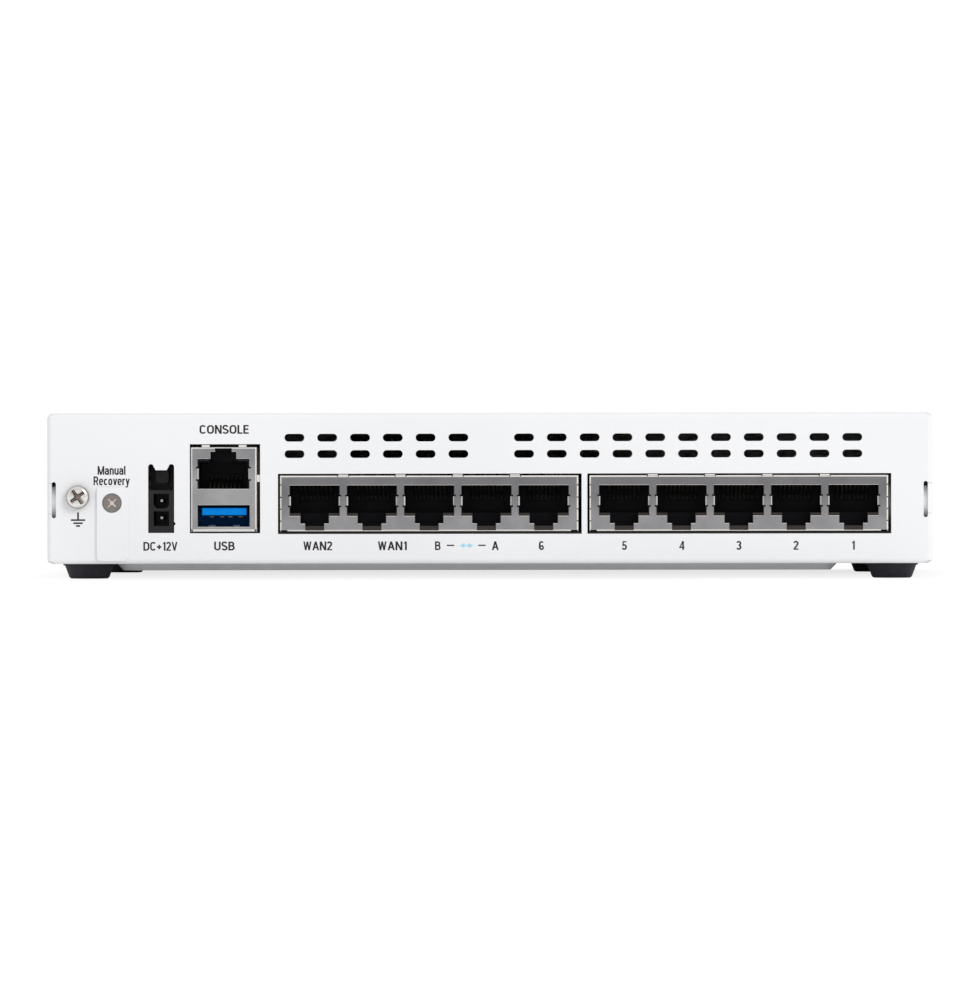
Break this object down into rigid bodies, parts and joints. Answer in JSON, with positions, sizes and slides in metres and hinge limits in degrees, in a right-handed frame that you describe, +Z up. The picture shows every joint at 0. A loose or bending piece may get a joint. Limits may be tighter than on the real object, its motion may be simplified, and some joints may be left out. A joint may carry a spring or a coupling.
{
  "type": "firewall appliance",
  "caption": "Desktop network firewall in a folded white sheet-metal case on rubber feet, with network, console, USB and supply sockets on one end panel.",
  "frame": {"origin": "centre of the footprint, on the surface that the feet stand on", "axes": "+X along the width, to the right as one faces the connector panel; +Y from the connector panel towards the status panel; +Z up"},
  "size_m": [0.216, 0.1624, 0.0405],
  "materials": {
    "white_paint": "fine satin white powder coat",
    "black_rubber": "soft matte black rubber",
    "tin_shield": "folded tin-plated steel sheet with a faint grain",
    "black_plastic": "moulded black glass-filled plastic",
    "dc_plastic": "moulded black flame-retardant plastic",
    "blue_plastic": "moulded blue plastic",
    "gold_contact": "gold-plated spring contact",
    "tin_pin": "bright tin plating",
    "nickel_screw": "bright nickel plating",
    "zinc_screw": "dull dark zinc plating",
    "steel_nut": "plain zinc-plated steel",
    "circuit_board": "green solder mask over fibreglass board",
    "chip_black": "black moulding compound",
    "black_anodised": "black anodised aluminium",
    "grey_pad": "soft grey thermal pad",
    "can_metal": "drawn aluminium can",
    "cell_steel": "polished steel cell can",
    "holder_plastic": "black plastic holder",
    "led_body": "clear-topped light",
    "light_guide": "frosted clear moulding",
    "white_plastic": "white moulded plastic",
    "switch_plastic": "black moulded switch body",
    "label_film": "silver-grey polyester label, blank"
  },
  "bodies": {
    "chassis": {"base_tray": "white_paint", "rear_panel": "white_paint", "front_panel": "white_paint", "top_cover": "white_paint", "foot_rear_left": "black_rubber", "foot_rear_right": "black_rubber", "foot_front_left": "black_rubber", "foot_front_right": "black_rubber", "cover_screws": "zinc_screw", "panel_screws": "zinc_screw", "cover_nuts": "steel_nut", "panel_nuts": "steel_nut", "ground_nut": "steel_nut", "switch_cover_nut": "steel_nut", "standoffs": "steel_nut", "board_screws": "steel_nut", "heat_sink_screws": "steel_nut", "underside_label": "label_film", "main_board": "circuit_board", "processor": "chip_black", "memory_chips": "chip_black", "flash_chip": "chip_black", "switch_chip": "chip_black", "lan_transformers": "chip_black", "inductors": "chip_black", "thermal_pad": "grey_pad", "heat_sink": "black_anodised", "capacitors": "can_metal", "coin_cell": "cell_steel", "coin_cell_holder": "holder_plastic", "rj45_shield_left": "tin_shield", "rj45_shield_right": "tin_shield", "stack_shield": "tin_shield", "usb_shell": "tin_shield", "rj45_housing_left": "black_plastic", "rj45_housing_right": "black_plastic", "console_housing": "black_plastic", "dc_header": "dc_plastic", "rj45_contacts_left": "gold_contact", "rj45_contacts_right": "gold_contact", "console_contacts": "gold_contact", "usb_contacts": "gold_contact", "usb_tongue": "blue_plastic", "dc_pins": "tin_pin", "mode_switch_body": "switch_plastic", "status_leds": "led_body", "light_guides": "light_guide", "reset_switch_body": "switch_plastic"},
    "reset_button": {"reset_plunger": "white_plastic"},
    "mode_slider": {"mode_switch_slider": "white_plastic"},
    "switch_cover": {"switch_cover_plate": "white_paint", "switch_cover_screw": "zinc_screw"},
    "lock_washer": {"ground_lock_washer": "nickel_screw"},
    "earth_screw": {"ground_screw": "nickel_screw"}
  },
  "joints": [
    {"name": "reset_press", "type": "slide", "parent": "chassis", "child": "reset_button", "axis": [0, -1, 0], "range_m": [0, 0.00035], "stiffness_N_per_m": 2000, "springref_m": -0.0005},
    {"name": "mode_slide", "type": "slide", "parent": "chassis", "child": "mode_slider", "axis": [1, 0, 0], "range_m": [0, 0.002]},
    {"name": "switch_cover_removal", "type": "slide", "parent": "chassis", "child": "switch_cover", "axis": [0, -1, 0], "range_m": [0, 0.012]},
    {"name": "earth_screw_travel", "type": "slide", "parent": "chassis", "child": "lock_washer", "axis": [0, -1, 0], "range_m": [0, 0.003]},
    {"name": "earth_screw_turn", "type": "hinge", "parent": "lock_washer", "child": "earth_screw", "pos_m": [-0.1004, -0.0815, 0.02005], "axis": [0, -1, 0], "range_deg": [0, 2161]}
  ],
  "couplings": [
    {"joint": "earth_screw_turn", "follows": "earth_screw_travel", "rad_per_m": 12566}
  ]
}
